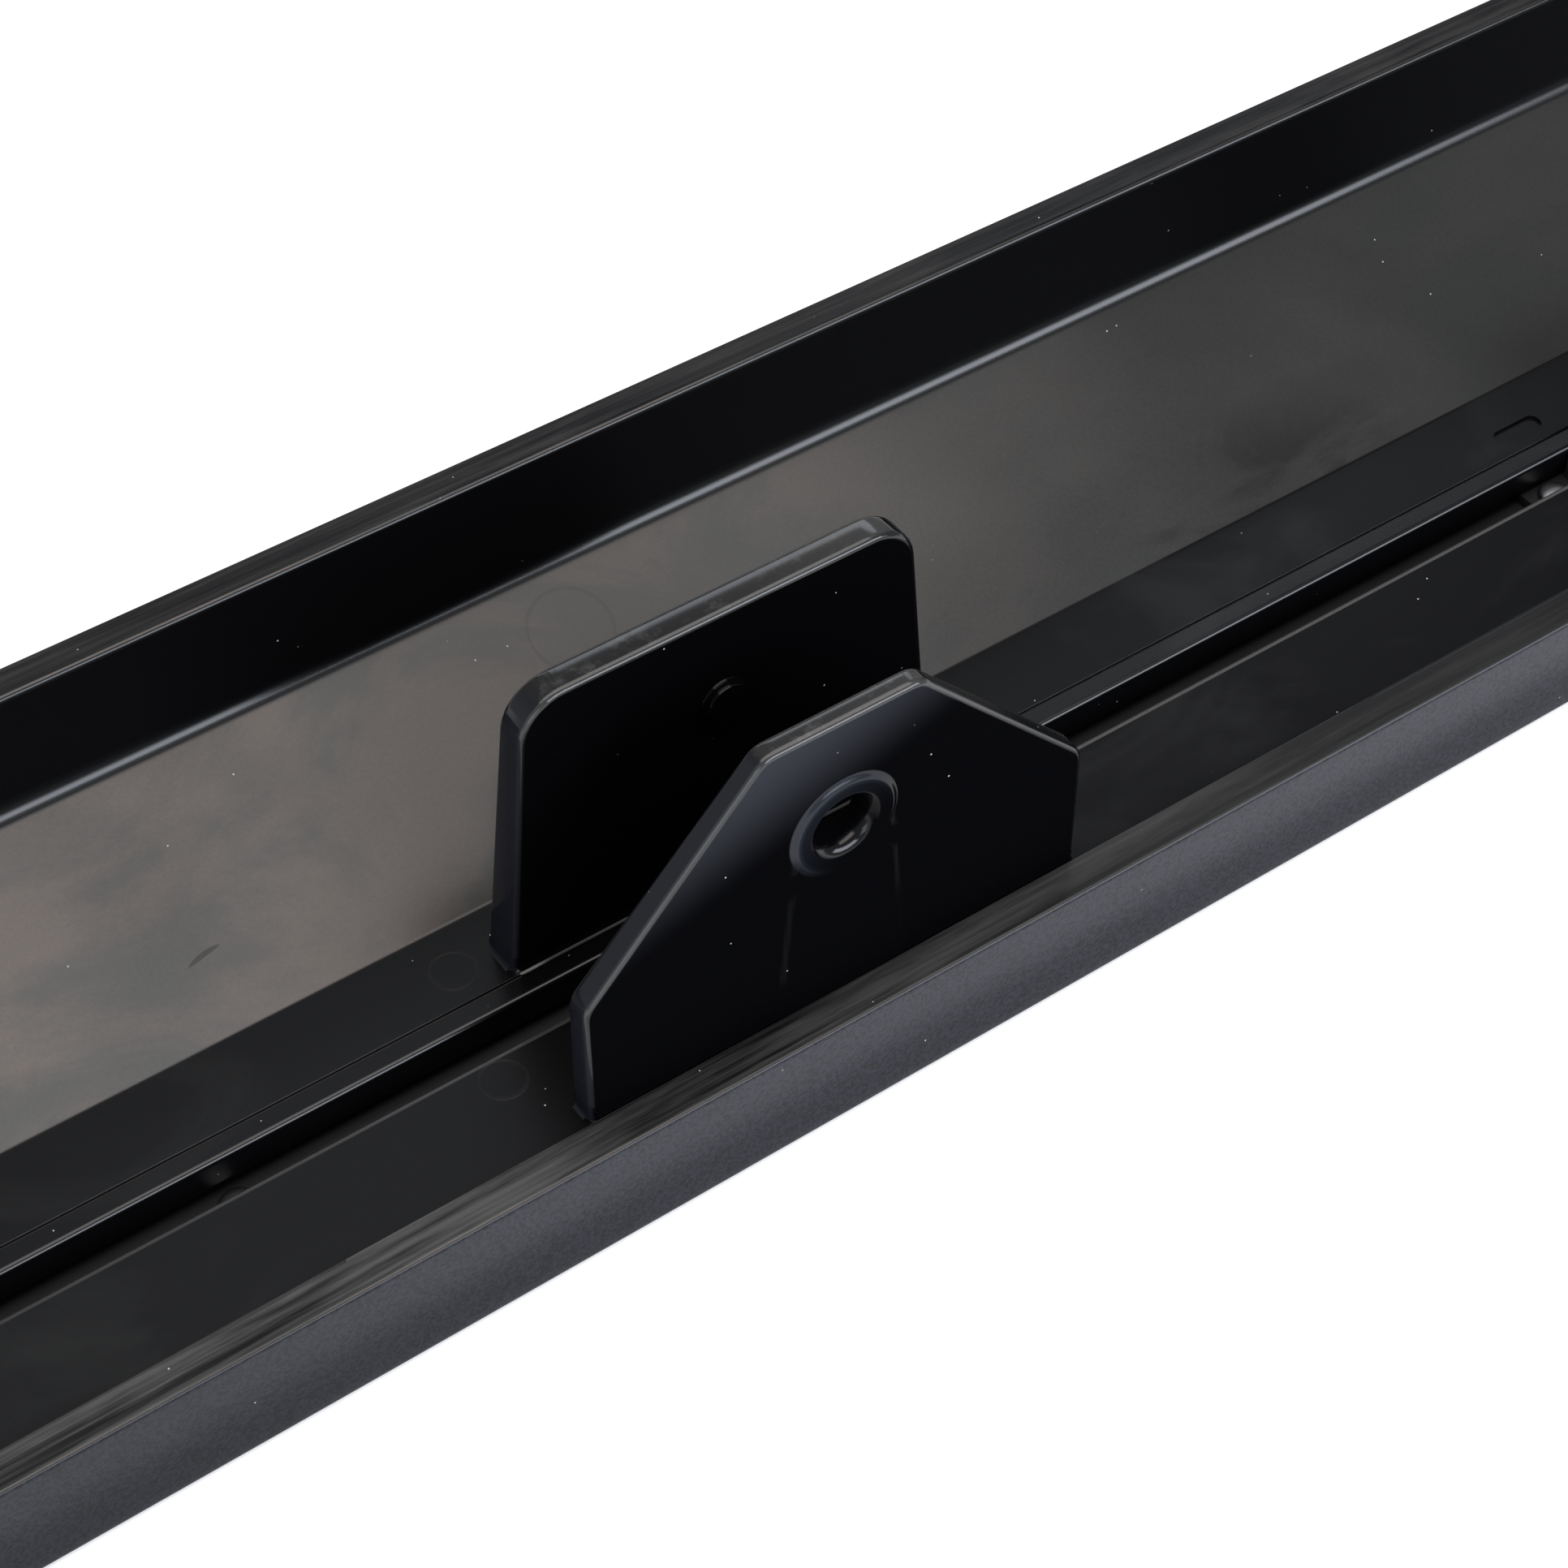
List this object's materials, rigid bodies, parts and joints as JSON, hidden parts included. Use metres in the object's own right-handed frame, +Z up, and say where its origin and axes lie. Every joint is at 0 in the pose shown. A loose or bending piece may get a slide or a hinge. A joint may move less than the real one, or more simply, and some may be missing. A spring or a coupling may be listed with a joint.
{
  "type": "cabinet drawer slide",
  "caption": "Black moulded drawer-slide channel with a slotted floor, clevis ears, sloping ramp and fence, over a telescoping steel ball-bearing slide with a drive tongue.",
  "frame": {"origin": "on the base plane, under the middle of the floor slot and the clevis axis", "axes": "+X along the slide towards its closed rear end, +Y from the low front wall towards the fence, +Z up"},
  "size_m": [0.4108, 0.0672, 0.0537],
  "materials": {
    "black_plastic": "satin moulded black, scuffed grey on the rims",
    "black_steel": "black electrocoat, satin",
    "zinc_steel": "bright zinc plate, drawn along its length",
    "ball_steel": "polished",
    "rubber": "matt",
    "grey_nylon": "moulded nylon"
  },
  "bodies": {
    "frame": {"channel_housing": "black_plastic", "cabinet_member": "zinc_steel", "front_end_cap": "black_plastic", "rear_end_cap": "black_plastic", "end_cap_screw_1": "zinc_steel", "end_cap_screw_2": "zinc_steel", "end_cap_screw_3": "zinc_steel", "end_cap_screw_4": "zinc_steel", "side_screw_1": "zinc_steel", "side_screw_2": "zinc_steel", "side_screw_3": "zinc_steel", "side_screw_4": "zinc_steel", "rear_bumper": "rubber"},
    "outer_cage": {"outer_ball_cage": "zinc_steel", "outer_ball_1": "ball_steel", "outer_ball_2": "ball_steel", "outer_ball_3": "ball_steel", "outer_ball_4": "ball_steel", "outer_ball_5": "ball_steel", "outer_ball_6": "ball_steel", "outer_ball_7": "ball_steel", "outer_ball_8": "ball_steel"},
    "middle": {"middle_member": "zinc_steel"},
    "inner_cage": {"inner_ball_cage": "zinc_steel", "inner_ball_1": "ball_steel", "inner_ball_2": "ball_steel", "inner_ball_3": "ball_steel", "inner_ball_4": "ball_steel", "inner_ball_5": "ball_steel", "inner_ball_6": "ball_steel", "inner_ball_7": "ball_steel", "inner_ball_8": "ball_steel"},
    "drawer": {"drawer_member": "black_steel", "drive_tongue": "black_steel", "front_bracket": "black_steel", "tongue_rivet_1": "zinc_steel", "tongue_rivet_2": "zinc_steel", "bracket_rivet_1": "zinc_steel", "bracket_rivet_2": "zinc_steel", "lever_rivet": "zinc_steel"},
    "lever": {"release_lever": "grey_nylon"}
  },
  "joints": [
    {"name": "drawer_slide", "type": "slide", "parent": "frame", "child": "drawer", "axis": [-1, 0, 0], "range_m": [0, 0.27]},
    {"name": "middle_slide", "type": "slide", "parent": "frame", "child": "middle", "axis": [-1, 0, 0], "range_m": [0, 0.135]},
    {"name": "outer_cage_slide", "type": "slide", "parent": "frame", "child": "outer_cage", "axis": [-1, 0, 0], "range_m": [0, 0.0675]},
    {"name": "inner_cage_slide", "type": "slide", "parent": "frame", "child": "inner_cage", "axis": [-1, 0, 0], "range_m": [0, 0.2025]},
    {"name": "release_lever_pivot", "type": "hinge", "parent": "drawer", "child": "lever", "pos_m": [-0.062, 0, 0.0072], "axis": [0, 0, 1], "range_deg": [-3, 3]}
  ],
  "couplings": [
    {"joint": "middle_slide", "follows": "drawer_slide", "ratio": 0.5},
    {"joint": "outer_cage_slide", "follows": "drawer_slide", "ratio": 0.25},
    {"joint": "inner_cage_slide", "follows": "drawer_slide", "ratio": 0.75}
  ]
}
